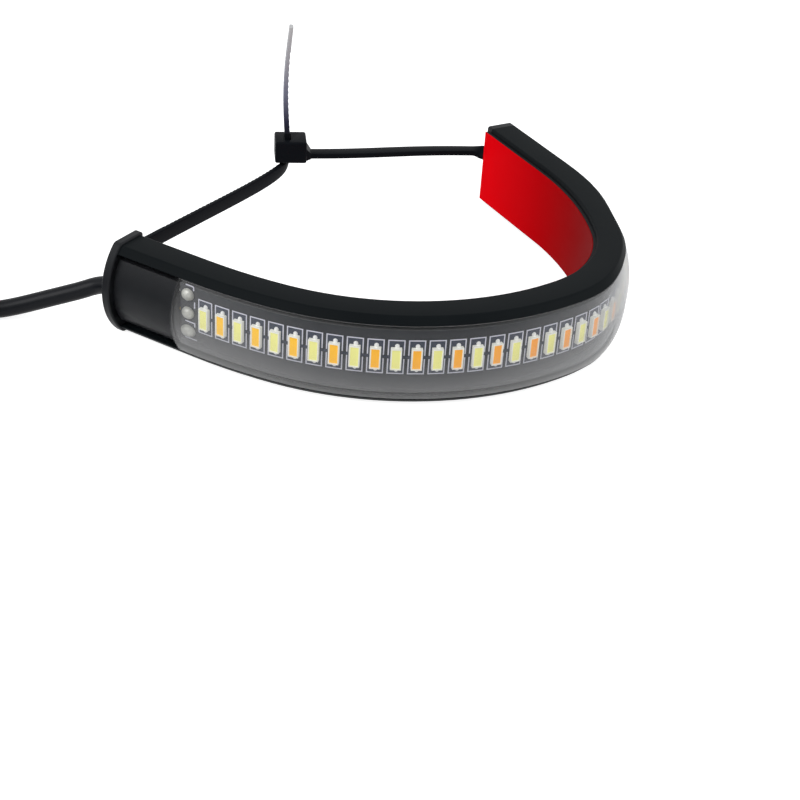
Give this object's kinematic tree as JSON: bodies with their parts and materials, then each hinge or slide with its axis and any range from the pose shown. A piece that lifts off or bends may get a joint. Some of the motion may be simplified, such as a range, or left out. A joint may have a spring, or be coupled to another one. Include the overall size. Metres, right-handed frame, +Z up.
{
  "type": "daytime running light",
  "caption": "Flexible D-section LED strip light, bent into an open loop and tied with a cable tie, for a fork tube; with cable and coil.",
  "frame": {"origin": "ground point below the middle of the light's own box, without its free cable", "axes": "+Z up, +X to the right across the loop, +Y to the back, from the lit front bend towards the tie's head"},
  "size_m": [0.1339, 0.0923, 0.0328],
  "materials": {
    "housing_rubber": "satin",
    "clear_lens": "satin, slightly hazy",
    "board": "matte, with white printed marks",
    "led_white": "satin",
    "led_amber": "satin",
    "solder": "bright tin",
    "wire_white": "satin",
    "wire_yellow": "satin",
    "wire_black": "satin",
    "cable_jacket": "satin",
    "cap_rubber": "satin",
    "foam": "matte foam",
    "red_liner": "semi-gloss film",
    "nylon": "satin",
    "band": "satin"
  },
  "bodies": {
    "root": {"housing": "housing_rubber", "lens": "clear_lens", "pcb": "board", "led_white_01": "led_white", "led_amber_02": "led_amber", "led_white_03": "led_white", "led_amber_04": "led_amber", "led_white_05": "led_white", "led_amber_06": "led_amber", "led_white_07": "led_white", "led_amber_08": "led_amber", "led_white_09": "led_white", "led_amber_10": "led_amber", "led_white_11": "led_white", "led_amber_12": "led_amber", "led_white_13": "led_white", "led_amber_14": "led_amber", "led_white_15": "led_white", "led_amber_16": "led_amber", "led_white_17": "led_white", "led_amber_18": "led_amber", "led_white_19": "led_white", "led_amber_20": "led_amber", "led_white_21": "led_white", "led_amber_22": "led_amber", "led_white_23": "led_white", "led_amber_24": "led_amber", "led_white_25": "led_white", "led_amber_26": "led_amber", "led_white_27": "led_white", "led_amber_28": "led_amber", "led_white_29": "led_white", "led_amber_30": "led_amber", "led_white_31": "led_white", "led_amber_32": "led_amber", "led_white_33": "led_white", "led_amber_34": "led_amber", "led_white_35": "led_white", "led_amber_36": "led_amber", "led_white_37": "led_white", "led_amber_38": "led_amber", "solder_left_top": "solder", "solder_left_middle": "solder", "solder_left_bottom": "solder", "core_white": "wire_white", "core_yellow": "wire_yellow", "core_black": "wire_black", "end_cap": "cap_rubber", "end_plug": "cap_rubber", "foam_tape": "foam", "liner": "red_liner", "cable_tie": "nylon", "cable_in_cap": "cable_jacket", "cable": "cable_jacket", "cable_coil": "cable_jacket", "cable_end": "cable_jacket", "coil_band": "band", "lead_white": "wire_white", "lead_yellow": "wire_yellow", "lead_black": "wire_black"}
  },
  "joints": []
}
